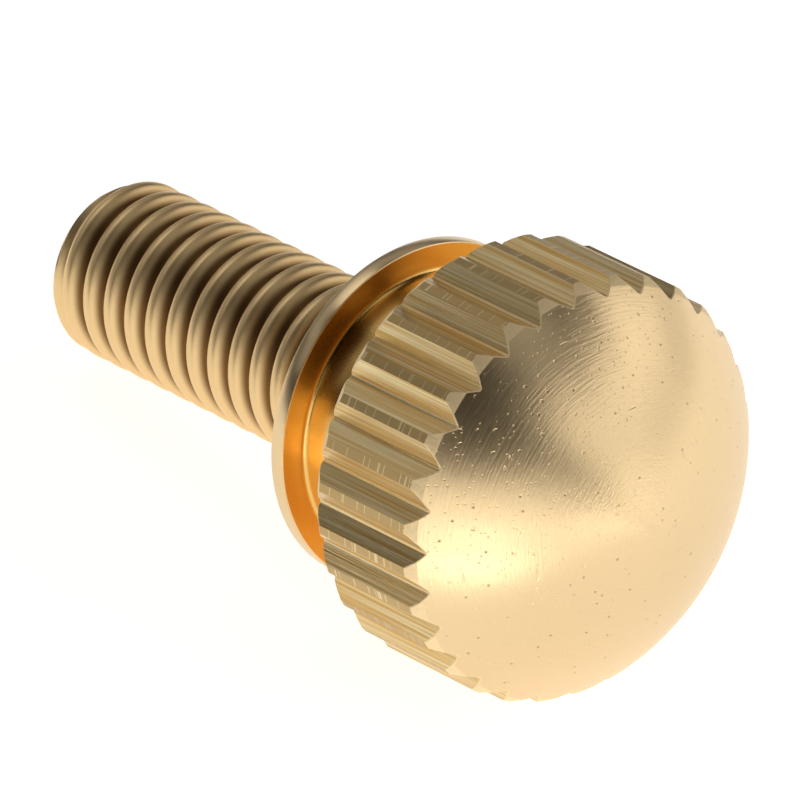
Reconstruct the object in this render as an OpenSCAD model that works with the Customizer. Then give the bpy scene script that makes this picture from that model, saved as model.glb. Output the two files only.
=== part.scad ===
// Brass thumb screw: a threaded shank, a thin collar, a plain neck and a domed
// head with straight flutes, all turned from one bar.
//
// It is drawn upright first, on its own axis: the collar's underside is at height
// zero, the shank hangs below it and the dome is at the top. The last step lays it
// on its side, where it rests on two flute crests and on the end of the shank. The
// origin is on that surface, under the middle of the whole screw.

/* [Thread] */
// Major diameter of the shank (M4 coarse)
thread_d = 4; // [3:0.1:6]
// Length of the shank, from its tip to the underside of the collar
shank_len = 10; // [6:0.5:25]
// 45 degree chamfer at the tip, down to the thread's root
tip_chamfer = 0.5; // [0.2:0.05:0.9]

/* [Collar] */
// Diameter of the collar that the screw tightens down on
collar_d = 7.6; // [6.8:0.1:9]
// Thickness of the collar
collar_t = 0.44; // [0.36:0.02:1.2]
// 45 degree chamfer on the collar's thread side
collar_chamfer = 0.08; // [0.02:0.02:0.16]
// 45 degree edge break on the collar's other side
collar_break = 0.03; // [0.01:0.01:0.06]

/* [Neck] */
// Diameter of the plain neck between the collar and the head
neck_d = 6.36; // [5:0.05:6.5]
// Length of the neck
neck_len = 2; // [1:0.02:4]
// Radius of the fillets at both ends of the neck
neck_fillet = 0.12; // [0.05:0.01:0.2]

/* [Head] */
// Diameter of the head over its flute crests
head_d = 9.4; // [8:0.1:13]
// Length of the fluted grip, from the neck to the edge of the dome
grip_len = 3.1; // [1.5:0.02:6]
// Height of the dome above the grip
dome_h = 2.24; // [1:0.02:3.5]
// How far below the dome's edge the crests start to be chamfered
rim_len = 0.08; // [0.02:0.01:0.15]
// Slope of that chamfer, from the screw's axis
rim_angle = 30; // [15:1:32]
// Length of the chamfer at the crests' other ends, next to the neck
back_len = 0.28; // [0.1:0.02:0.4]
// Slope of that chamfer, from the screw's axis
back_angle = 35; // [15:1:40]

/* [Flutes] */
// Number of straight flutes around the grip
flute_count = 30; // [24:2:36]
// Depth of each flute, from the crests to its root
flute_depth = 0.27; // [0.15:0.01:0.35]
// Width of the flat crest left between two flutes
crest_w = 0.2; // [0.1:0.01:0.4]
// Width of the flat at the root of each flute
flute_root_w = 0.06; // [0.02:0.01:0.12]

/* [Hidden] */
// Circles are true circles, so this sets only how finely they are previewed
$fn = 96;
// How far a cut runs past what it cuts
over = 1;

thread_r = thread_d / 2;
collar_r = collar_d / 2;
neck_r = neck_d / 2;
head_r = head_d / 2;

// Heights on the screw's own axis
neck_z = collar_t;
head_z = neck_z + neck_len;
crest_z = head_z + back_len;
dome_z = head_z + grip_len;
top_z = dome_z + dome_h;

// The dome is a cap of the sphere that meets the crests at its edge
dome_r = (head_r * head_r + dome_h * dome_h) / (2 * dome_h);
dome_centre_z = top_z - dome_r;

// Seen along the axis, a flute that faces +X comes out through the crests here
crest_edge_angle = 180 / flute_count - crest_w / head_d * 180 / PI;
crest_edge_x = head_r * cos(crest_edge_angle);
crest_edge_y = head_r * sin(crest_edge_angle);
// Its flat walls slope from the edges of its root out to there
flute_root_x = head_r - flute_depth;
flute_root_y = flute_root_w / 2;
wall_slope = atan2(crest_edge_y - flute_root_y, crest_edge_x - flute_root_x);

// Lying down, the screw touches at the ends of the full thread and of the crests
full_thread_len = shank_len - tip_chamfer;
tilt = atan2(crest_edge_x - thread_r, crest_z + full_thread_len);
rest_z = crest_edge_x * cos(tilt) - crest_z * sin(tilt);
tip_end_x = -shank_len * cos(tilt) - (thread_r - tip_chamfer) * sin(tilt);
dome_end_x = dome_centre_z * cos(tilt) + dome_r;
middle_x = (tip_end_x + dome_end_x) / 2;

// The shank at the thread's major diameter, with its tip chamfered
module shank() {
  translate([0, 0, -shank_len])
    cylinder(h = tip_chamfer, r1 = thread_r - tip_chamfer, r2 = thread_r);
  translate([0, 0, -full_thread_len])
    cylinder(h = full_thread_len + collar_t / 2, r = thread_r);
}

// A disc with a chamfered lower edge and a broken upper edge
module collar() {
  straight = collar_t - collar_chamfer - collar_break;
  cylinder(h = collar_chamfer, r1 = collar_r - collar_chamfer, r2 = collar_r);
  translate([0, 0, collar_chamfer])
    cylinder(h = straight, r = collar_r);
  translate([0, 0, collar_t - collar_break])
    cylinder(h = collar_break, r1 = collar_r, r2 = collar_r - collar_break);
}

// Half of the neck's outline, from its lower fillet up to the head
module neck_outline() {
  difference() {
    translate([0, neck_z])
      square([neck_r + neck_fillet, neck_len]);
    translate([neck_r + neck_fillet, neck_z + neck_fillet])
      circle(r = neck_fillet);
    translate([neck_r + neck_fillet, head_z - neck_fillet])
      circle(r = neck_fillet);
    translate([neck_r, neck_z + neck_fillet])
      square([neck_fillet + over, neck_len - 2 * neck_fillet]);
  }
}

// The plain neck, filleted into the collar and into the head
module neck() {
  rotate_extrude()
    neck_outline();
}

// Section of one flute, cut from the side of the head that faces +X
module flute_section() {
  reach_x = head_r + crest_w / 8;
  reach_y = flute_root_y + (reach_x - flute_root_x) * tan(wall_slope);
  polygon([
    [flute_root_x, flute_root_y],
    [reach_x, reach_y],
    [reach_x, -reach_y],
    [flute_root_x, -flute_root_y]
  ]);
}

// Section of the fluted grip: a disc less its flutes
module grip_section() {
  difference() {
    circle(r = head_r);
    for (i = [0 : flute_count - 1])
      rotate([0, 0, i * 360 / flute_count])
        flute_section();
  }
}

// Solid cone that narrows upwards at a slope and meets the crests at height z. With
// a negative slope it narrows downwards.
module crest_cone(z, slope) {
  low = head_z - over;
  high = top_z + over;
  translate([0, 0, low])
    cylinder(
      h = high - low,
      r1 = head_r - (low - z) * tan(slope),
      r2 = head_r - (high - z) * tan(slope)
    );
}

// The head: the fluted section run up through both chamfers and the dome, so that
// the flutes end in pointed arches on the dome
module head() {
  intersection() {
    translate([0, 0, head_z])
      linear_extrude(grip_len + dome_h + over)
        grip_section();
    crest_cone(crest_z, -back_angle);
    crest_cone(dome_z - rim_len, rim_angle);
    translate([0, 0, dome_centre_z])
      sphere(r = dome_r);
  }
}

// The whole screw, upright on its own axis
module upright_screw() {
  shank();
  collar();
  neck();
  head();
}

// Lays a piece on its side: +X of the upright piece, a flute, turns to face down
module lay_down() {
  translate([-middle_x, 0, rest_z])
    rotate([0, 90 - tilt, 0])
      children();
}

module thumb_screw() {
  color([0.80, 0.64, 0.38])
    lay_down()
      upright_screw();
}

thumb_screw();
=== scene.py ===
"""Thumb screw: the visual model and its studio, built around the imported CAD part."""

import math
from types import SimpleNamespace

import bpy
import numpy as np
from bpy.props import FloatProperty, FloatVectorProperty, IntProperty, PointerProperty
from bpy.types import Operator, Panel, PropertyGroup
from mathutils import Matrix, Vector


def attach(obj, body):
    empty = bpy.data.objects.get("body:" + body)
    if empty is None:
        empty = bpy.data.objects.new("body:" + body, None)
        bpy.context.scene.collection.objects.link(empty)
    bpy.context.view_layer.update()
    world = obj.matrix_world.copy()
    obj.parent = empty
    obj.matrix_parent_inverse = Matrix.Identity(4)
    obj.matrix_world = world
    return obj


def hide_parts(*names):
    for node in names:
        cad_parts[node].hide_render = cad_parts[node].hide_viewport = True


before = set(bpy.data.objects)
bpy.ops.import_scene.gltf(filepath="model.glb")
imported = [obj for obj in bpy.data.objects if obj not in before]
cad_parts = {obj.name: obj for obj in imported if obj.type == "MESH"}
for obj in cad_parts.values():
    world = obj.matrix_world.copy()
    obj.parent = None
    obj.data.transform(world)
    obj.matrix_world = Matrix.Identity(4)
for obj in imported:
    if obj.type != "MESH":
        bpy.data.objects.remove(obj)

bl_info = {
    "name": "Thumb screw",
    "version": (1, 0, 0),
    "blender": (4, 5, 0),
    "location": "3D View > Sidebar > Thumb screw",
    "description": "Builds a turned brass thumb screw and the studio it is shown in",
    "category": "Add Mesh",
}

MM = 0.001
TURN = 2 * math.pi


def linear(code):
    """Linear RGBA of an sRGB hex colour."""
    parts = [int(code[i : i + 2], 16) / 255 for i in (0, 2, 4)]
    return [p / 12.92 if p <= 0.04045 else ((p + 0.055) / 1.055) ** 2.4 for p in parts] + [1.0]


# ---------------------------------------------------------------- properties


class ScrewSettings(PropertyGroup):
    """Sizes of the screw, measured along and around its own axis."""

    head_radius: FloatProperty(
        name="Head radius",
        description="Radius over the flute crests",
        default=4.7 * MM,
        unit="LENGTH",
        precision=5,
    )
    head_start: FloatProperty(
        name="Head start",
        description="Height where the head begins",
        default=2.44 * MM,
        unit="LENGTH",
        precision=5,
    )
    grip_length: FloatProperty(
        name="Grip length",
        description="Length of the grip up to the dome",
        default=3.1 * MM,
        unit="LENGTH",
        precision=5,
    )
    dome_height: FloatProperty(
        name="Dome height",
        description="Height of the dome above the grip",
        default=2.24 * MM,
        unit="LENGTH",
        precision=5,
    )
    rim_length: FloatProperty(
        name="Rim length",
        description="Length of crest that is chamfered below the dome",
        default=0.08 * MM,
        unit="LENGTH",
        precision=5,
    )
    rim_angle: FloatProperty(
        name="Rim angle", description="Slope of that chamfer", default=math.radians(30), subtype="ANGLE"
    )
    back_length: FloatProperty(
        name="Back chamfer",
        description="Length of the crests' chamfer next to the neck",
        default=0.28 * MM,
        unit="LENGTH",
        precision=5,
    )
    back_angle: FloatProperty(
        name="Back chamfer angle",
        description="Slope of that chamfer",
        default=math.radians(35),
        subtype="ANGLE",
    )
    flutes: IntProperty(name="Flutes", description="Number of flutes around the grip", default=30)
    flute_depth: FloatProperty(
        name="Flute depth",
        description="Depth of a flute from crest to root",
        default=0.27 * MM,
        unit="LENGTH",
        precision=5,
    )
    crest_width: FloatProperty(
        name="Crest width",
        description="Flat left between two flutes",
        default=0.2 * MM,
        unit="LENGTH",
        precision=5,
    )
    flute_root: FloatProperty(
        name="Flute root",
        description="Width of the flat at a flute's root",
        default=0.06 * MM,
        unit="LENGTH",
        precision=5,
    )
    neck_radius: FloatProperty(
        name="Neck radius",
        description="Radius of the plain neck",
        default=3.18 * MM,
        unit="LENGTH",
        precision=5,
    )
    neck_fillet: FloatProperty(
        name="Neck fillet",
        description="Radius of the fillets at the neck's ends",
        default=0.12 * MM,
        unit="LENGTH",
        precision=5,
    )
    collar_radius: FloatProperty(
        name="Collar radius",
        description="Radius of the collar",
        default=3.8 * MM,
        unit="LENGTH",
        precision=5,
    )
    collar_thickness: FloatProperty(
        name="Collar thickness",
        description="Thickness of the collar",
        default=0.44 * MM,
        unit="LENGTH",
        precision=5,
    )
    collar_chamfer: FloatProperty(
        name="Collar chamfer",
        description="Chamfer on the thread side",
        default=0.08 * MM,
        unit="LENGTH",
        precision=5,
    )
    collar_break: FloatProperty(
        name="Collar edge break",
        description="Edge break on the neck side",
        default=0.03 * MM,
        unit="LENGTH",
        precision=5,
    )
    thread_radius: FloatProperty(
        name="Thread radius",
        description="Major radius of the thread",
        default=2.0 * MM,
        unit="LENGTH",
        precision=5,
    )
    pitch: FloatProperty(
        name="Pitch",
        description="Distance from one thread crest to the next",
        default=0.7 * MM,
        unit="LENGTH",
        precision=5,
    )
    thread_depth: FloatProperty(
        name="Thread depth",
        description="Depth of the thread's groove",
        default=0.24 * MM,
        unit="LENGTH",
        precision=5,
    )
    shank_length: FloatProperty(
        name="Shank length",
        description="From the tip to the collar",
        default=10.0 * MM,
        unit="LENGTH",
        precision=5,
    )
    tip_chamfer: FloatProperty(
        name="Tip chamfer",
        description="45 degree chamfer at the tip",
        default=0.5 * MM,
        unit="LENGTH",
        precision=5,
    )
    crest_at: FloatProperty(
        name="Thread start",
        description="Height of a thread crest in line with the lowest flute",
        default=-0.4871 * MM,
        unit="LENGTH",
        precision=5,
    )


class ColourSettings(PropertyGroup):
    """Colours of the brass where it was cut, rubbed or soiled in different ways, and a painted shade for
    the thread's grooves.
    """

    bare: FloatVectorProperty(
        name="Bare brass",
        description="Dome, collar and tip",
        default=linear("E9CC9C"),
        subtype="COLOR",
        size=4,
    )
    pit: FloatVectorProperty(
        name="Pits",
        description="Floor of the pits in the dome",
        default=linear("8A6238"),
        subtype="COLOR",
        size=4,
    )
    chamfer: FloatVectorProperty(
        name="Chamfer",
        description="Cut metal at the crests' ends",
        default=linear("FCE6BA"),
        subtype="COLOR",
        size=4,
    )
    flute_warm: FloatVectorProperty(
        name="Flutes, warm",
        description="Warmer stripes of the flute walls",
        default=linear("CFA55F"),
        subtype="COLOR",
        size=4,
    )
    flute_pale: FloatVectorProperty(
        name="Flutes, pale",
        description="Paler stripes of the flute walls",
        default=linear("E8D3A2"),
        subtype="COLOR",
        size=4,
    )
    flute_dirt: FloatVectorProperty(
        name="Flutes, dirt",
        description="Dirt left in the lines of the flute walls",
        default=linear("94703E"),
        subtype="COLOR",
        size=4,
    )
    crest_skin: FloatVectorProperty(
        name="Crests, skin",
        description="Dull skin of the bar",
        default=linear("C2A46E"),
        subtype="COLOR",
        size=4,
    )
    crest_cut: FloatVectorProperty(
        name="Crests, cut",
        description="Bright marks of the chatter",
        default=linear("EAD2A0"),
        subtype="COLOR",
        size=4,
    )
    face: FloatVectorProperty(
        name="Underside",
        description="Underside of the head",
        default=linear("E8BC72"),
        subtype="COLOR",
        size=4,
    )
    neck: FloatVectorProperty(
        name="Neck", description="Plain neck", default=linear("ECBE6E"), subtype="COLOR", size=4
    )
    thread: FloatVectorProperty(
        name="Thread", description="Crests of the thread", default=linear("F2D098"), subtype="COLOR", size=4
    )
    # Painted shade: a darker colour laid into the thread's grooves, where shade falls between the crests
    painted_groove_shade: FloatVectorProperty(
        name="Painted groove shade",
        description="Painted shade in the thread's grooves",
        default=linear("7C5830"),
        subtype="COLOR",
        size=4,
    )


class StudioSettings(PropertyGroup):
    """The camera and the lights, in the row frame."""

    azimuth: FloatProperty(
        name="Azimuth",
        description="Direction from the screw to the camera, from +X",
        default=math.radians(-42.8),
        subtype="ANGLE",
    )
    elevation: FloatProperty(
        name="Elevation",
        description="Height of the camera's direction",
        default=math.radians(37.72),
        subtype="ANGLE",
    )
    roll: FloatProperty(
        name="Roll",
        description="Turn of the camera about its line of sight",
        default=math.radians(4.17),
        subtype="ANGLE",
    )
    slide_right: FloatProperty(
        name="Slide right",
        description="Shift of the aim to the right",
        default=-0.166 * MM,
        unit="LENGTH",
        precision=6,
    )
    slide_up: FloatProperty(
        name="Slide up",
        description="Shift of the aim upwards",
        default=0.1335 * MM,
        unit="LENGTH",
        precision=6,
    )
    distance: FloatProperty(
        name="Camera distance", description="From the camera to the screw", default=0.2907, unit="LENGTH"
    )
    lens: FloatProperty(
        name="Lens", description="Focal length on a 36 mm sensor", default=620.4, unit="CAMERA"
    )
    reach: FloatProperty(
        name="Light distance", description="From the screw to each softbox", default=0.4, unit="LENGTH"
    )
    width: FloatProperty(
        name="Softbox width", description="Diameter of each round softbox", default=0.2, unit="LENGTH"
    )
    table: FloatProperty(
        name="Light table", description="Radiance of the paper from the light under it", default=0.8
    )
    brightness: FloatProperty(name="Brightness", description="Scales every softbox", default=1.0)


# ------------------------------------------------------------------- helpers


def add_node(tree, kind, place=(0, 0), links=None, **values):
    """Adds a node, sets its properties and sockets by name, and links its inputs."""
    made = tree.nodes.new(kind)
    made.location = place
    for key, value in values.items():
        if hasattr(made, key):
            setattr(made, key, value)
        else:
            made.inputs[key.replace("_", " ")].default_value = value
    for socket, source in (links or {}).items():
        tree.links.new(source, made.inputs[socket])
    return made


def plain_sizes(settings):
    """The settings as plain numbers, with every length in millimetres."""
    values = {}
    for name in settings.__annotations__:
        value = getattr(settings, name)
        is_length = settings.bl_rna.properties[name].unit == "LENGTH"
        values[name] = round(value / MM, 6) if is_length else value
    return SimpleNamespace(**values)


# ------------------------------------------------------------------ geometry


def resting(s):
    """The tilt in radians, the axis height and the middle, all from the sizes."""
    edge = math.pi / s.flutes - s.crest_width / (2 * s.head_radius)
    down = s.head_radius * math.cos(edge)
    full = s.shank_length - s.tip_chamfer
    crest = s.head_start + s.back_length
    tilt = math.atan2(down - s.thread_radius, crest + full)
    height = down * math.cos(tilt) - crest * math.sin(tilt)
    sphere = (s.head_radius**2 + s.dome_height**2) / (2 * s.dome_height)
    top = s.head_start + s.grip_length + s.dome_height
    tip = -s.shank_length * math.cos(tilt) - (s.thread_radius - s.tip_chamfer) * math.sin(tilt)
    middle = (tip + (top - sphere) * math.cos(tilt) + sphere) / 2
    return tilt, height, middle


def to_row(points, s):
    """Upright points in millimetres as row-frame points in metres."""
    tilt, height, middle = resting(s)
    x, y, z = points.T
    across, along = math.sin(tilt), math.cos(tilt)
    return MM * np.stack([x * across + z * along - middle, y, -x * along + z * across + height], 1)


def flute_radius(angle, s):
    """Radius of the fluted outline at each angle, for flutes centred on angle 0.

    With a the angle from the nearest flute's middle: the crest circle past the crest
    edge; the root flat x = R - depth near the middle; and between them the straight
    wall through (x0, y0) at slope w, r = (x0 sin w - y0 cos w) / sin(w - a).
    """
    half = math.pi / s.flutes
    a = np.abs((angle + half) % (2 * half) - half)
    edge = half - s.crest_width / (2 * s.head_radius)
    ex, ey = s.head_radius * math.cos(edge), s.head_radius * math.sin(edge)
    rx, ry = s.head_radius - s.flute_depth, s.flute_root / 2
    slope = math.atan2(ey - ry, ex - rx)
    wall = (ex * math.sin(slope) - ey * math.cos(slope)) / np.sin(slope - np.minimum(a, edge))
    r = np.where(a < math.atan2(ry, rx), rx / np.cos(a), wall)
    return np.where(a >= edge - 1e-9, s.head_radius, r)


def flute_angles(s):
    """Sixteen angles a flute, on its edges and root, in order round the head."""
    half = math.pi / s.flutes
    edge = half - s.crest_width / (2 * s.head_radius)
    root = math.atan2(s.flute_root / 2, s.head_radius - s.flute_depth)
    near = np.array(
        [
            root,
            0.3 * edge,
            0.6 * edge,
            0.93 * edge,
            edge,
            edge + 0.3 * (half - edge),
            edge + 0.7 * (half - edge),
        ]
    )
    one = np.concatenate([[-half], -near[::-1], [0], near])
    return (one[None] + np.arange(s.flutes)[:, None] * 2 * half).ravel()


# Shapes of the thread as shares of its pitch: half the crest's width, one flank's, and
# the run either side over which the corners are rounded
HALF_CREST, FLANK, ROUNDING = 0.17, 0.24, 0.11
# Length over which the groove runs out under the collar, in millimetres
RUN_OUT = 0.25


def thread_depth(phase):
    """Share of the thread's depth cut away at each phase of a turn, 0 on the crest.

    Straight flanks between a broad flat crest and a narrow root, with the corners
    rounded by averaging over a short run either side.
    """
    def sharp(u):
        u = np.abs((u + 0.5) % 1 - 0.5)
        return np.clip((u - HALF_CREST) / FLANK, 0, 1)

    spread = np.linspace(-ROUNDING, ROUNDING, 23)
    return sharp(phase[..., None] + spread).mean(-1)


def thread_rings(s, columns, stations, low, high):
    """Upright rings of the threaded shank, from low to high.

    Column k stands at angle f = 2 pi k / columns. Row i has the height
    S(i - b) + pitch f / 2 pi, where S runs through the stations turn after turn and
    b = floor(k stations / columns), so every point stays on one station of the thread
    while the rows themselves stay level to within one station.
    Radius: major - depth * thread_depth(phase), kept inside the tip's 45 degree cone.
    """
    u = np.linspace(0, 1, stations, endpoint=False)
    k = np.arange(columns)
    shift = (k * stations) // columns
    first = math.floor((low - s.crest_at) / s.pitch * stations) + 1
    last = math.ceil((high - s.crest_at) / s.pitch * stations) - 1
    i = np.arange(first, last)[:, None] - shift[None]
    phase = u[i % stations]
    z = s.crest_at + s.pitch * (i // stations + phase + k / columns)
    angle = np.broadcast_to(TURN * k / columns, z.shape)
    depth = s.thread_depth
    fade = np.clip((high - z) / RUN_OUT, 0, 1) ** 0.5
    r = s.thread_radius - THREAD_INSET - depth * thread_depth(phase) * fade
    cone = s.thread_radius - s.tip_chamfer - 0.006 + (z + s.shank_length)
    return z, angle, np.minimum(r, cone), shift


class Surface:
    """Collects rings of upright points and the faces between them, as one mesh."""

    def __init__(self):
        self.points, self.faces, self.kinds, self.count = [], [], [], 0

    def add_points(self, radius, angle, height):
        """Adds points given on cylinder coordinates and returns their indices."""
        radius, angle, height = np.broadcast_arrays(radius, angle, height)
        xyz = np.stack([radius * np.cos(angle), radius * np.sin(angle), height], -1)
        self.points.append(xyz.reshape(-1, 3))
        index = self.count + np.arange(radius.size).reshape(radius.shape)
        self.count += radius.size
        return index

    def add_faces(self, faces, kind):
        """Adds triangles or quads (a triangle's fourth corner is -1) of one kind."""
        faces = np.asarray(faces).reshape(-1, np.asarray(faces).shape[-1])
        if faces.shape[1] == 3:
            faces = np.hstack([faces, np.full((len(faces), 1), -1)])
        self.faces.append(faces)
        self.kinds.append(np.broadcast_to(kind, len(faces)).copy())

    def add_band(self, low, high, kind):
        """Quads between two rings with the same columns, facing outwards."""
        low, high = np.broadcast_arrays(low, high)
        self.add_faces(np.stack([low, np.roll(low, -1, -1), np.roll(high, -1, -1), high], -1), kind)

    def add_rows(self, rows, kind):
        """Quads between each ring of a stack and the next."""
        self.add_band(rows[:-1], rows[1:], kind)

    def add_fan(self, ring, centre, kind, upward):
        """Triangles from a ring to the point at its middle."""
        a, b = (ring, np.roll(ring, -1)) if upward else (np.roll(ring, -1), ring)
        self.add_faces(np.stack([a, b, np.full_like(a, centre)], -1), kind)

    def add_stitch(self, coarse, fine, coarse_angle, fine_angle, kind):
        """Triangles between two rings whose points don't match, coarse one inside.

        Each fine edge goes to the coarse point nearest its middle, and each coarse
        edge to the fine point where that nearest point changes.
        """
        n, m = len(coarse), len(fine)
        middle = fine_angle + ((np.roll(fine_angle, -1) - fine_angle) % TURN) / 2
        near = np.rint((middle - coarse_angle[0]) / (TURN / n)).astype(int)
        self.add_faces(np.stack([np.roll(fine, -1), fine, coarse[near % n]], -1), kind)
        step = np.nonzero((np.roll(near, -1) - near) % n)[0]
        corner = fine[(step + 1) % m]
        self.add_faces(np.stack([coarse[near[step] % n], coarse[(near[step] + 1) % n], corner], -1), kind)


# Kinds of face, each with its own material
DOME, RIM, FLUTE, CREST, FACE, COLLAR, NECK, THREAD, TIP = range(9)

# How far the thread stays inside its major radius, in millimetres
THREAD_INSET = 0.012
# Step at a broken edge, in millimetres
EDGE = 0.012
# How far below the dome's surface the flute walls end, in millimetres, and how much
# further some of them do, so that the edge looks torn
WALL_DROP, WALL_RAGGED = 0.014, 0.03
# The same for how far in from the walls that surface starts
LIP_IN, LIP_RAGGED = 0.008, 0.006
# Radius inside which the dome's rings are true circles, in millimetres
INNER_RADIUS = 4.34
# Height of the UV map, in millimetres along the screw
UV_SPAN = 30
# Edges that turn more sharply than this aren't smoothed
SHARP_ANGLE = math.radians(24)


def build_shank(surface, s, columns=160, stations=16):
    """Adds the threaded shank from its tip to z = 0 and returns its top ring."""
    tip_z = -s.shank_length
    z, angle, r, shift = thread_rings(s, columns, stations, tip_z + 0.01, -0.01)
    rows = surface.add_points(r, angle, z)
    last = len(rows) - 1
    step = np.append(shift[1:], stations) - shift
    after = np.roll(np.arange(columns), -1)
    i, k = np.meshgrid(np.arange(last), np.arange(columns), indexing="ij")
    j = i + step[k]
    inside = j + 1 <= last
    i, k, j = i[inside], k[inside], j[inside]
    surface.add_faces(
        np.stack([rows[i, k], rows[j, after[k]], rows[j + 1, after[k]], rows[i + 1, k]], -1), THREAD
    )
    k = np.nonzero(step)[0]
    surface.add_faces(np.stack([rows[0, k], rows[0, after[k]], rows[1, after[k]]], -1), THREAD)
    surface.add_faces(np.stack([rows[last - 1, k], rows[last, after[k]], rows[last, k]], -1), THREAD)
    around = TURN * np.arange(columns) / columns
    bottom = surface.add_points(s.thread_radius - s.tip_chamfer - 0.01, around, tip_z + 0.002)
    surface.add_band(bottom, rows[0], THREAD)
    top = surface.add_points(s.thread_radius - THREAD_INSET, around, 0.0)
    surface.add_band(rows[last], top, THREAD)
    inner = surface.add_points(
        np.array([[0.5], [1.0], [1.44]]), around[None], tip_z + 0.002 * np.array([[0], [0], [0.2]])
    )
    surface.add_rows(np.vstack([inner, bottom[None]]), TIP)
    surface.add_fan(inner[0], surface.add_points(0.0, 0.0, tip_z)[()], TIP, upward=False)
    return top, around


def arc(cx, cz, radius, start, end, count):
    """Radii and heights along an arc of a profile, its angles in degrees."""
    a = np.radians(np.linspace(start, end, count))
    return np.stack([cx + radius * np.cos(a), cz + radius * np.sin(a)], 1)


def waist_profile(s):
    """Radius and height from the collar's underside, up its rim and the neck."""
    cr, ct, cc, cb = s.collar_radius, s.collar_thickness, s.collar_chamfer, s.collar_break
    nr, nf, hz = s.neck_radius, s.neck_fillet, s.head_start
    under = [[2.35, 0], [3.0, 0], [cr - cc - 0.006, 0], [cr - cc + 0.006, 0.006]]
    rim = [
        [cr - 0.008, cc - 0.008],
        [cr, cc + 0.01],
        [cr, ct / 2],
        [cr, ct - cb],
        [cr - 0.006, ct - 0.012],
        [cr - cb, ct],
    ]
    lower = arc(nr + nf, ct + nf, nf, 270, 180, 9)
    upper = arc(nr + nf, hz - nf, nf, 180, 90, 9)
    steps = np.linspace(ct + nf, hz - nf, 9)[1:-1]
    neck = np.stack([np.full_like(steps, nr), steps], 1)
    top = [[cr - 0.2, ct], [cr - 0.4, ct]]
    disc, plain = [under, rim], [top, lower, neck, upper]
    kinds = [COLLAR] * (sum(map(len, disc)) - 1) + [NECK] * sum(map(len, plain))
    return np.vstack(disc + plain), kinds


def build_waist(surface, s, angle):
    """Adds the collar and neck as rings of one profile turned round the axis."""
    profile, kinds = waist_profile(s)
    rows = surface.add_points(profile[:, :1], angle[None], profile[:, 1:])
    for low, high, kind in zip(rows[:-1], rows[1:], kinds):
        surface.add_band(low, high, kind)
    return rows[0], rows[-1]


def build_head(surface, s, angle, start):
    """Adds the fluted grip and dome, from the neck's top ring to the pole.

    At each angle the wall stands at the fluted outline r(angle). It starts on the
    back chamfer's cone and runs up to the lower of the rim's cone and the dome's
    sphere at that radius, then follows that surface in to the pole, so each flute
    ends in its own pointed arch.
    """
    outline = flute_radius(angle, s)
    dome_z = s.head_start + s.grip_length
    sphere = (s.head_radius**2 + s.dome_height**2) / (2 * s.dome_height)
    centre = dome_z + s.dome_height - sphere
    slope = math.tan(s.rim_angle)

    def cone(r):
        return dome_z - s.rim_length + (s.head_radius - r) / slope

    def dome(r):
        return centre + np.sqrt(sphere**2 - r**2)

    def top(r):
        return np.minimum(cone(r), dome(r))

    test = np.linspace(s.head_radius - 0.4, s.head_radius, 4001)
    meet = test[np.argmin(np.abs(cone(test) - dome(test)))]
    half = math.pi / s.flutes
    a = np.abs((angle + half) % (2 * half) - half)
    on_crest = a >= half - s.crest_width / (2 * s.head_radius) - 1e-9
    wall_kind = np.where(on_crest & np.roll(on_crest, -1), CREST, FLUTE)
    ragged = np.random.default_rng(7).random(len(angle)) ** 2
    back = math.tan(s.back_angle)
    foot = np.minimum(outline, s.head_radius - s.back_length * back)
    start_z = s.head_start + s.back_length - (s.head_radius - outline) / back
    start_z = np.maximum(start_z, s.head_start + 0.016)
    flat = surface.add_points(
        np.stack([0 * foot + 3.6, foot - 0.25, foot - EDGE]), angle[None], s.head_start
    )
    surface.add_rows(np.vstack([start[None], flat]), FACE)
    base = surface.add_points(foot, angle, s.head_start + 0.008)
    share = np.array([0, 0.35, 0.7, 1])[:, None]
    end_z = top(outline) - WALL_DROP - WALL_RAGGED * ragged
    wall = surface.add_points(outline[None], angle[None], start_z + (end_z - start_z) * share)
    surface.add_band(flat[-1], base, FACE)
    surface.add_band(base, wall[0], RIM)
    surface.add_rows(wall, wall_kind[None].repeat(3, 0).ravel())
    lip = outline - LIP_IN - LIP_RAGGED * ragged
    first = np.minimum(meet, lip - EDGE)
    share = np.array([0.33, 0.66, 1.0])[:, None]
    radii = np.vstack([lip, first, first + (INNER_RADIUS - first) * share])
    rings = np.linspace(INNER_RADIUS, 0, 46)[1:-1, None] + 0 * outline[None]
    radii = np.vstack([radii, rings])
    rows = surface.add_points(radii, angle[None], top(radii))
    surface.add_band(wall[-1], rows[0], RIM)
    surface.add_band(rows[0], rows[1], RIM)
    surface.add_rows(rows[1:], DOME)
    surface.add_fan(rows[-1], surface.add_points(0.0, 0.0, centre + sphere)[()], DOME, upward=True)


def make_screw(s):
    """The whole screw as one closed mesh, lying in the row frame."""
    surface = Surface()
    angle = np.roll(flute_angles(s), -8) % TURN
    top, around = build_shank(surface, s)
    low, high = build_waist(surface, s, angle)
    surface.add_stitch(top, low, around, angle, COLLAR)
    build_head(surface, s, angle, high)
    points = np.vstack(surface.points)
    return points, np.vstack(surface.faces), np.concatenate(surface.kinds)


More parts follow.
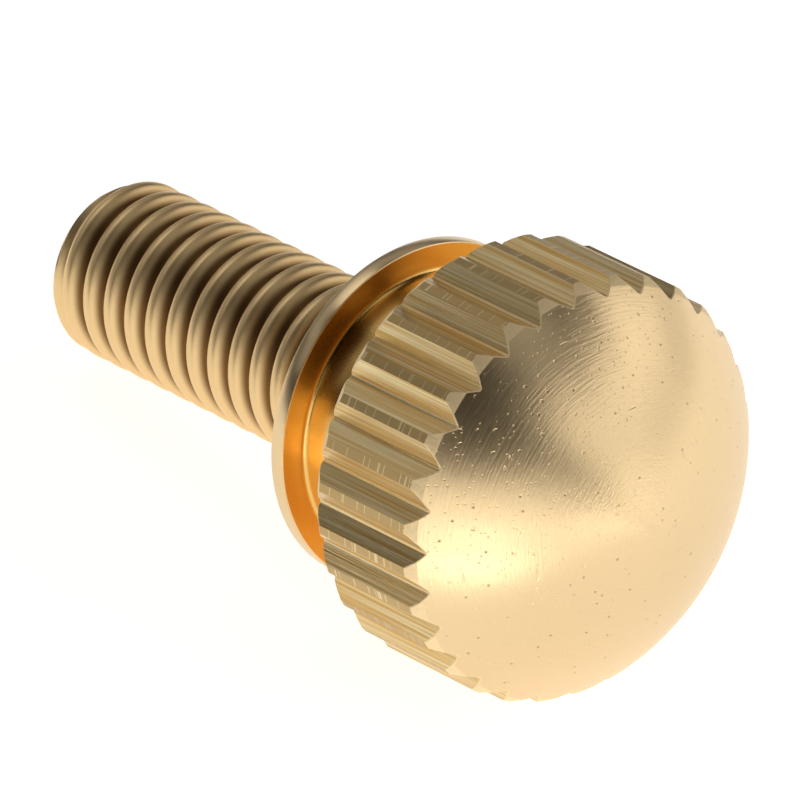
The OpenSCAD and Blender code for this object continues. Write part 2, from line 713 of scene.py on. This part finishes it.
def mesh_from(name, points, faces, kinds, s):
    """A Blender mesh with a UV map round and along the screw and upright positions."""
    mesh = bpy.data.meshes.new(name)
    rows = to_row(points, s)
    sizes = np.where(faces[:, 3] < 0, 3, 4)
    corners = faces.ravel()
    corners = corners[corners >= 0]
    mesh.vertices.add(len(rows))
    mesh.vertices.foreach_set("co", rows.astype(np.float32).ravel())
    mesh.loops.add(len(corners))
    mesh.loops.foreach_set("vertex_index", corners.astype(np.int32))
    mesh.polygons.add(len(faces))
    mesh.polygons.foreach_set("loop_start", np.append(0, np.cumsum(sizes)[:-1]).astype(np.int32))
    mesh.polygons.foreach_set("material_index", kinds.astype(np.int32))
    mesh.update(calc_edges=True)
    radius = np.hypot(points[:, 0], points[:, 1])
    turn = (np.arctan2(points[:, 1], points[:, 0]) / TURN) % 1
    owner = np.repeat(np.arange(len(faces)), sizes)
    u = turn[corners]
    first = u[np.append(0, np.cumsum(sizes)[:-1])]
    u = first[owner] + (u - first[owner] + 0.5) % 1 - 0.5
    pole = radius[corners] < 1e-6
    mean = np.bincount(owner, weights=np.where(pole, 0, u)) / np.bincount(owner, weights=~pole)
    u = np.where(pole, mean[owner], u)
    v = (points[corners, 2] + s.shank_length + s.head_radius - radius[corners]) / UV_SPAN
    layer = mesh.uv_layers.new(name="Round and along")
    layer.data.foreach_set("uv", np.stack([u, v], 1).astype(np.float32).ravel())
    polar = mesh.attributes.new("polar", "FLOAT_VECTOR", "CORNER")
    polar.data.foreach_set(
        "vector", np.stack([u * 360, radius[corners], points[corners, 2]], 1).astype(np.float32).ravel()
    )
    upright = mesh.attributes.new("upright", "FLOAT_VECTOR", "POINT")
    upright.data.foreach_set("vector", points.astype(np.float32).ravel())
    mesh.shade_smooth()
    mesh.set_sharp_from_angle(angle=SHARP_ANGLE)
    edge = np.zeros(len(corners), np.int32)
    mesh.loops.foreach_get("edge_index", edge)
    lowest, highest = np.full(len(mesh.edges), 99), np.full(len(mesh.edges), -1)
    np.minimum.at(lowest, edge, kinds[owner])
    np.maximum.at(highest, edge, kinds[owner])
    sharp = np.zeros(len(mesh.edges), bool)
    mesh.edges.foreach_get("use_edge_sharp", sharp)
    mesh.edges.foreach_set("use_edge_sharp", sharp | (lowest != highest))
    mesh.validate()
    return mesh


# ----------------------------------------------------------------- materials


def attribute(tree, name, scale, place):
    """A vector attribute of the mesh, stretched by a scale per millimetre or degree."""
    source = add_node(tree, "ShaderNodeAttribute", place, attribute_name=name)
    stretch = add_node(
        tree,
        "ShaderNodeVectorMath",
        (place[0] + 180, place[1]),
        {0: source.outputs["Vector"]},
        operation="MULTIPLY",
    )
    stretch.inputs[1].default_value = scale
    return stretch.outputs["Vector"]


def streaks(tree, scale, place, detail=2.0):
    """Fine lines of a tool, from noise that is long one way and short the other.

    Scale is per degree round the screw, per millimetre out from its axis and per
    millimetre along it. The result runs from 0 to 1.
    """
    noise = add_node(
        tree,
        "ShaderNodeTexNoise",
        (place[0] + 360, place[1]),
        {"Vector": attribute(tree, "polar", scale, place)},
    )
    noise.inputs["Scale"].default_value = 1.0
    noise.inputs["Detail"].default_value = detail
    return noise.outputs["Fac"]


def spots(tree, scale, radius, share, place):
    """Scattered spots: 1 inside, 0 outside, in cells stretched by scale per mm.

    A spot's radius is a share of its cell, and only that share of the cells has one.
    """
    cell = add_node(
        tree,
        "ShaderNodeTexVoronoi",
        (place[0] + 360, place[1]),
        {"Vector": attribute(tree, "upright", scale, place)},
    )
    cell.inputs["Scale"].default_value = 1.0
    near = add_node(
        tree, "ShaderNodeMapRange", (place[0] + 540, place[1]), {"Value": cell.outputs["Distance"]}
    )
    for key, value in (("From Min", radius), ("From Max", 0.5 * radius), ("To Min", 0.0), ("To Max", 1.0)):
        near.inputs[key].default_value = value
    pick = add_node(
        tree, "ShaderNodeSeparateColor", (place[0] + 540, place[1] - 160), {"Color": cell.outputs["Color"]}
    )
    some = add_node(
        tree,
        "ShaderNodeMath",
        (place[0] + 720, place[1] - 160),
        {0: pick.outputs["Red"]},
        operation="LESS_THAN",
    )
    some.inputs[1].default_value = share
    return product(tree, near.outputs["Result"], some.outputs["Value"], (place[0] + 900, place[1]))


def product(tree, a, b, place, operation="MULTIPLY"):
    """Two values, or a value and a number, multiplied or otherwise combined."""
    made = add_node(tree, "ShaderNodeMath", place, {0: a}, operation=operation)
    if isinstance(b, float):
        made.inputs[1].default_value = b
    else:
        tree.links.new(b, made.inputs[1])
    return made.outputs["Value"]


def blend(tree, fac, first, second, place):
    """One colour where fac is 0 and the other where it is 1."""
    made = add_node(tree, "ShaderNodeMix", place, data_type="RGBA")
    tree.links.new(fac, made.inputs[0])
    for socket, value in ((made.inputs[6], first), (made.inputs[7], second)):
        if isinstance(value, bpy.types.NodeSocket):
            tree.links.new(value, socket)
        else:
            socket.default_value = value
    return made.outputs[2]


def raise_by(tree, height, microns, place, under=None):
    """A bump of that many microns from a 0 to 1 height, over another bump."""
    made = add_node(tree, "ShaderNodeBump", place, {"Height": height})
    made.inputs["Strength"].default_value = 1.0
    made.inputs["Distance"].default_value = microns * 1e-6
    if under:
        tree.links.new(under, made.inputs["Normal"])
    return made.outputs["Normal"]


def brass(name, colour, roughness, anisotropic, rotation=0.25):
    """Bare brass: a metal with the default IOR, its shine stretched across the tool
    marks, so a light shows as a sector or a band rather than as a spot."""
    material = bpy.data.materials.new(name)
    material.use_nodes = True
    tree = material.node_tree
    shader = tree.nodes["Principled BSDF"]
    shader.inputs["Base Color"].default_value = colour
    shader.inputs["Metallic"].default_value = 1.0
    shader.inputs["Roughness"].default_value = roughness
    shader.inputs["Anisotropic"].default_value = anisotropic
    shader.inputs["Anisotropic Rotation"].default_value = rotation
    tangent = add_node(
        tree, "ShaderNodeTangent", (-400, -300), direction_type="UV_MAP", uv_map="Round and along"
    )
    tree.links.new(tangent.outputs["Tangent"], shader.inputs["Tangent"])
    return material, tree, shader


def domed_brass(colours):
    """Satin dome: rings left by a turning tool about 0.05 mm apart, a few of them
    deep enough to show, with pits and short scratches from handling in a bin.

    A fine grain, stronger towards the pole where the tool hardly cuts, opens the
    shine out evenly there instead of in sectors.
    """
    material, tree, shader = brass("turned brass, domed end", colours.bare, 0.33, 0.55)
    rings = streaks(tree, (0.11, 21.0, 0.0), (-2400, 600), 3.0)
    broad = streaks(tree, (0.02, 3.5, 0.0), (-2400, 350), 1.0)
    place = add_node(tree, "ShaderNodeAttribute", (-2400, 900), attribute_name="polar")
    out = add_node(tree, "ShaderNodeSeparateXYZ", (-2200, 900), {0: place.outputs["Vector"]})
    inner = add_node(
        tree,
        "ShaderNodeMapRange",
        (-2000, 900),
        {"Value": out.outputs["Y"]},
        interpolation_type="SMOOTHSTEP",
    )
    for key, value in (("From Min", 4.0), ("From Max", 0.6), ("To Min", 0.15), ("To Max", 1.0)):
        inner.inputs[key].default_value = value
    noise = add_node(
        tree,
        "ShaderNodeTexNoise",
        (-2000, 1150),
        {"Vector": attribute(tree, "upright", (26.0, 26.0, 26.0), (-2400, 1150))},
    )
    noise.inputs["Scale"].default_value = 1.0
    noise.inputs["Detail"].default_value = 1.0
    grain = product(tree, noise.outputs["Fac"], inner.outputs["Result"], (-1700, 1000))
    pits = spots(tree, (3.3, 3.3, 3.3), 0.12, 0.7, (-2400, 50))
    fine = spots(tree, (9.3, 9.3, 9.3), 0.22, 0.5, (-2400, -300))
    marks = spots(tree, (5.2, 0.9, 5.2), 0.14, 0.35, (-2400, -650))
    nicks = spots(tree, (0.8, 5.4, 5.4), 0.14, 0.35, (-2400, -1000))
    slant = spots(tree, (3.4, 3.4, 1.0), 0.13, 0.35, (-2400, -1350))
    normal = raise_by(tree, rings, 7.5, (-1200, 600))
    normal = raise_by(tree, broad, 1.5, (-1050, 600), normal)
    normal = raise_by(tree, grain, 4.0, (-900, 600), normal)
    for index, (height, microns) in enumerate(
        ((pits, -8.0), (fine, -4.5), (marks, -7.0), (nicks, -7.0), (slant, -7.0))
    ):
        normal = raise_by(tree, height, microns, (-750 + 150 * index, 500 - 100 * index), normal)
    tree.links.new(normal, shader.inputs["Normal"])
    tree.links.new(
        blend(tree, product(tree, pits, 0.5, (-600, -300)), colours.bare, colours.pit, (-300, -300)),
        shader.inputs["Base Color"],
    )
    return material


def drawn_brass(colours):
    """Flute walls: lengthwise lines where the knurling wheel slid, some of them
    warmer or greyer than the bare metal, and a little dirt left in the lines."""
    material, tree, shader = brass("rolled brass, flutes", colours.bare, 0.33, 0.6, 0.0)
    lines = streaks(tree, (3.2, 0.0, 0.22), (-2400, 400), 3.0)
    broad = streaks(tree, (1.5, 0.0, 0.16), (-2400, 100), 2.0)
    grain = streaks(tree, (4.0, 10.0, 6.0), (-2400, -200), 2.0)
    normal = raise_by(tree, lines, 8.0, (-800, 400))
    normal = raise_by(tree, grain, 2.4, (-600, 400), normal)
    tree.links.new(normal, shader.inputs["Normal"])
    ramp = add_node(tree, "ShaderNodeMapRange", (-1200, 100), {"Value": broad}, clamp=True)
    ramp.inputs["From Min"].default_value, ramp.inputs["From Max"].default_value = 0.35, 0.65
    colour = blend(tree, ramp.outputs["Result"], colours.flute_warm, colours.flute_pale, (-900, 0))
    dirt = add_node(tree, "ShaderNodeMapRange", (-1200, -200), {"Value": lines}, clamp=True)
    dirt.inputs["From Min"].default_value, dirt.inputs["From Max"].default_value = 0.42, 0.2
    tree.links.new(
        blend(
            tree, dirt.outputs["Result"], colour, colours.flute_dirt, (-600, 0)
        ), shader.inputs["Base Color"]
    )
    return material


def crest_brass(colours):
    """Flute crests: the bar's own dull skin, cut bright by chatter every few tenths
    of a millimetre."""
    material, tree, shader = brass("rolled brass, crests", colours.bare, 0.4, 0.3, 0.0)
    source = add_node(tree, "ShaderNodeAttribute", (-2400, 0), attribute_name="polar")
    split = add_node(tree, "ShaderNodeSeparateXYZ", (-2200, 0), {0: source.outputs["Vector"]})
    crest = product(tree, split.outputs["X"], 12.0, (-2000, 0), "SNAP")
    place = add_node(
        tree,
        "ShaderNodeCombineXYZ",
        (-1800, 0),
        {
            "X": product(tree, split.outputs["Z"], 2.6, (-2000, -200)),
            "Y": product(tree, crest, 7.3, (-1900, 100)),
        },
    )
    cell = add_node(
        tree,
        "ShaderNodeTexVoronoi",
        (-1600, 0),
        {"Vector": place.outputs["Vector"]},
        voronoi_dimensions="2D",
        feature="DISTANCE_TO_EDGE",
    )
    cell.inputs["Scale"].default_value = 1.0
    tick = add_node(tree, "ShaderNodeMapRange", (-1400, 0), {"Value": cell.outputs["Distance"]}, clamp=True)
    tick.inputs["From Min"].default_value, tick.inputs["From Max"].default_value = 0.035, 0.012
    grain = streaks(tree, (9.0, 0.0, 14.0), (-2400, -500), 2.0)
    normal = raise_by(tree, grain, 5.0, (-800, 400))
    normal = raise_by(tree, tick.outputs["Result"], 3.0, (-600, 400), normal)
    tree.links.new(normal, shader.inputs["Normal"])
    tree.links.new(
        blend(
            tree, tick.outputs["Result"], colours.crest_skin, colours.crest_cut, (-900, 0)
        ), shader.inputs["Base Color"]
    )
    return material


def rim_brass(colours):
    """The chamfer at the crests' ends: torn a little where the tool ran out."""
    material, tree, shader = brass("turned brass, chamfer", colours.chamfer, 0.72, 0.0)
    grain = streaks(tree, (0.8, 12.0, 12.0), (-1600, 0), 3.0)
    tree.links.new(raise_by(tree, grain, 14.0, (-600, 400)), shader.inputs["Normal"])
    return material


def smooth_brass(name, colour, roughness, anisotropic, microns, scale):
    """A turned face with faint rings, too fine to see one by one."""
    material, tree, shader = brass(name, colour, roughness, anisotropic)
    tree.links.new(
        raise_by(tree, streaks(tree, scale, (-1600, 0)), microns, (-600, 400)), shader.inputs["Normal"]
    )
    return material


def thread_brass(colours):
    """Cut thread: satin on the crests, with a dark painted shade laid into the grooves."""
    material, tree, shader = brass("cut brass, thread", colours.bare, 0.44, 0.0)
    # Painted shade: the colour darkens as the radius drops into each groove, except on the tip's chamfer
    place = add_node(tree, "ShaderNodeAttribute", (-1400, 0), attribute_name="polar")
    out = add_node(tree, "ShaderNodeSeparateXYZ", (-1200, 0), {0: place.outputs["Vector"]})
    height = add_node(
        tree, "ShaderNodeMapRange", (-1000, 0), {"Value": out.outputs["Y"]}, interpolation_type="SMOOTHSTEP"
    )
    height.inputs["From Min"].default_value, height.inputs["From Max"].default_value = 1.78, 1.95
    tip = add_node(tree, "ShaderNodeMapRange", (-1000, -250), {"Value": out.outputs["Z"]}, clamp=True)
    tip.inputs["From Min"].default_value, tip.inputs["From Max"].default_value = -9.3, -9.45
    crest_or_tip = product(tree, height.outputs["Result"], tip.outputs["Result"], (-800, 0), "MAXIMUM")
    tree.links.new(blend(tree, crest_or_tip, colours.painted_groove_shade, colours.thread, (-600, 0)), shader.inputs["Base Color"])
    return material


def materials(colours):
    """One material for each way the brass was cut, in the order of the face kinds."""
    round_it = (0.03, 14.0, 14.0)
    face = smooth_brass("turned brass, underside of head", colours.face, 0.3, 0.6, 0.02, round_it)
    collar = smooth_brass("turned brass, collar", colours.bare, 0.3, 0.6, 0.8, round_it)
    neck = smooth_brass("turned brass, neck", colours.neck, 0.24, 0.6, 0.02, round_it)
    tip = smooth_brass("turned brass, tip", colours.bare, 0.34, 0.7, 1.2, round_it)
    dome, rim, flute = domed_brass(colours), rim_brass(colours), drawn_brass(colours)
    crest, thread = crest_brass(colours), thread_brass(colours)
    return [dome, rim, flute, crest, face, collar, neck, thread, tip]


# ----------------------------------------------------------------- operators


class OBJECT_OT_thumb_screw(Operator):
    """Build the whole screw as one closed mesh that stands for the CAD node"""

    bl_idname = "object.thumb_screw"
    bl_label = "Build the screw"

    def execute(self, context):
        sizes = plain_sizes(context.scene.screw)
        points, faces, kinds = make_screw(sizes)
        mesh = mesh_from("thumb_screw_visual", points, faces, kinds, sizes)
        for material in materials(context.scene.colours):
            mesh.materials.append(material)
        piece = bpy.data.objects.new("thumb_screw_visual", mesh)
        context.scene.collection.objects.link(piece)
        edge = np.zeros(len(mesh.loops), np.int32)
        mesh.loops.foreach_get("edge_index", edge)
        if (np.bincount(edge, minlength=len(mesh.edges)) != 2).any():
            raise RuntimeError("the screw's mesh isn't closed")
        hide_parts("thumb_screw")
        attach(piece, "root")
        return {"FINISHED"}


def aim(obj, place, target):
    """Puts an object at a place, with its -Z axis towards the target."""
    obj.location = place
    obj.rotation_euler = (Vector(target) - Vector(place)).to_track_quat("-Z", "Y").to_euler()


def add_softbox(scene, name, place, target, width, radiance):
    """A round area light of an even radiance, facing a target."""
    light = bpy.data.lights.new(name, "AREA")
    light.shape = "DISK"
    light.size = width
    light.energy = radiance * (math.pi * width / 2) ** 2
    softbox = bpy.data.objects.new(name, light)
    scene.collection.objects.link(softbox)
    aim(softbox, place, target)


class SCENE_OT_thumb_screw_studio(Operator):
    """Build the floor, the surroundings, the lights and the camera"""

    bl_idname = "scene.thumb_screw_studio"
    bl_label = "Build the studio"

    def execute(self, context):
        scene, studio, screw = context.scene, context.scene.studio, context.scene.screw
        floor_mesh = bpy.data.meshes.new("floor")
        floor_mesh.from_pydata([(-2, -2, 0), (2, -2, 0), (2, 2, 0), (-2, 2, 0)], [], [(0, 1, 2, 3)])
        floor = bpy.data.objects.new("floor", floor_mesh)
        scene.collection.objects.link(floor)
        paper = bpy.data.materials.new("white paper")
        paper.use_nodes = True
        shader = paper.node_tree.nodes["Principled BSDF"]
        shader.inputs["Base Color"].default_value = linear("F2F2F0")
        shader.inputs["Roughness"].default_value = 0.9
        shader.inputs["Emission Color"].default_value = (1, 1, 1, 1)
        shader.inputs["Emission Strength"].default_value = studio.table
        floor_mesh.materials.append(paper)

        scene.world = bpy.data.worlds.new("surroundings")
        scene.world.use_nodes = True
        background = scene.world.node_tree.nodes["Background"]
        background.inputs["Color"].default_value = (1, 1, 1, 1)
        background.inputs["Strength"].default_value = 0.95
        # Only the camera sees the surroundings, so they light nothing
        for ray in ("diffuse", "glossy", "transmission", "scatter"):
            setattr(scene.world.cycles_visibility, ray, False)

        centre = Vector((0, 0, AIM_HEIGHT))
        for name, elevation, first, last, count, radiance in SOFTBOXES:
            for azimuth in np.linspace(first, last, count):
                up_by, round_it = math.radians(elevation), math.radians(azimuth)
                level = Vector((math.cos(round_it), math.sin(round_it), 0))
                away = math.cos(up_by) * level + math.sin(up_by) * Vector((0, 0, 1))
                add_softbox(
                    scene,
                    name,
                    centre + away * studio.reach,
                    centre,
                    studio.width,
                    studio.brightness * radiance,
                )
        for azimuth, distance, width, radiance in CARDS:
            round_it = math.radians(azimuth)
            place = Vector((distance * math.cos(round_it), distance * math.sin(round_it), CARD_HEIGHT))
            add_softbox(
                scene, "card", place, place + Vector((0, 0, 1)), width, studio.brightness * radiance
            )

        camera = bpy.data.objects.new("camera", bpy.data.cameras.new("camera"))
        camera.data.lens = studio.lens
        camera.data.sensor_width = SENSOR
        camera.data.clip_start = 0.01
        scene.collection.objects.link(camera)
        scene.camera = camera
        camera.matrix_world = view_matrix(plain_sizes(screw), studio)
        scene.view_settings.view_transform = "Standard"
        return {"FINISHED"}


def view_matrix(s, studio):
    """The camera's place: looking down at the domed end from its left.

    It looks along an azimuth and an elevation, rolled about that line, at the middle
    of the collar's underside, and is then slid sideways and up to frame the screw.
    """
    _, height, middle = resting(s)
    round_it, up_by, roll = studio.azimuth, studio.elevation, studio.roll
    level = Vector((-math.sin(round_it), math.cos(round_it), 0))
    back = Vector(
        (math.cos(up_by) * math.cos(round_it), math.cos(up_by) * math.sin(round_it), math.sin(up_by))
    )
    right = math.cos(roll) * level + math.sin(roll) * back.cross(level)
    up = back.cross(right)
    target = MM * Vector((-middle, 0, height)) + studio.slide_right * right + studio.slide_up * up
    place = target + back * studio.distance
    return Matrix.Translation(place) @ Matrix((right, up, back)).transposed().to_4x4()


# Width of the camera's sensor in millimetres
SENSOR = 36
# What the softboxes aim at and where the lights on the table lie, in metres above it
AIM_HEIGHT, CARD_HEIGHT = 0.004, 0.0006

# Rows of equal round softboxes: name, elevation, first and last azimuth, how many and
# their radiance. Only a faint one stands near the camera, so part of the dome and of
# the neck shows the dark of an unlit room.
SOFTBOXES = (
    ("low front", 8, 290, 350, 4, 0.9),
    ("low right", 8, 30, 90, 3, 0.85),
    ("right", 30, 15, 75, 3, 1.25),
    ("left", 30, 135, 225, 4, 0.4),
    ("front left", 30, 285, 285, 1, 0.3),
    ("over the tip", 52, 180, 180, 1, 1.25),
    ("top", 74, 22, 112, 2, 0.4),
)

# Round lights that lie on the table and face up, out of view: azimuth in degrees,
# distance and width in metres, radiance
CARDS = ((325, 0.028, 0.02, 1.4), (325, 0.12, 0.09, 3.2), (15, 0.055, 0.035, 1.7))


class VIEW3D_PT_thumb_screw(Panel):
    """Sizes and lights, with a button for each step"""

    bl_label = "Thumb screw"
    bl_space_type = "VIEW_3D"
    bl_region_type = "UI"
    bl_category = "Thumb screw"

    def draw(self, context):
        column = self.layout.column()
        for group in (context.scene.screw, context.scene.colours, context.scene.studio):
            for name in group.__annotations__:
                column.prop(group, name)
        column.operator("object.thumb_screw")
        column.operator("scene.thumb_screw_studio")


CLASSES = (
    ScrewSettings,
    ColourSettings,
    StudioSettings,
    OBJECT_OT_thumb_screw,
    SCENE_OT_thumb_screw_studio,
    VIEW3D_PT_thumb_screw,
)


def register():
    for item in CLASSES:
        bpy.utils.register_class(item)
    bpy.types.Scene.screw = PointerProperty(type=ScrewSettings)
    bpy.types.Scene.colours = PointerProperty(type=ColourSettings)
    bpy.types.Scene.studio = PointerProperty(type=StudioSettings)


def unregister():
    del bpy.types.Scene.studio
    del bpy.types.Scene.colours
    del bpy.types.Scene.screw
    for item in reversed(CLASSES):
        bpy.utils.unregister_class(item)


def main():
    """Builds everything."""
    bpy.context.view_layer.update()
    register()
    bpy.ops.object.thumb_screw()
    bpy.ops.scene.thumb_screw_studio()
    bpy.context.view_layer.update()


if __name__ == "__main__":
    main()
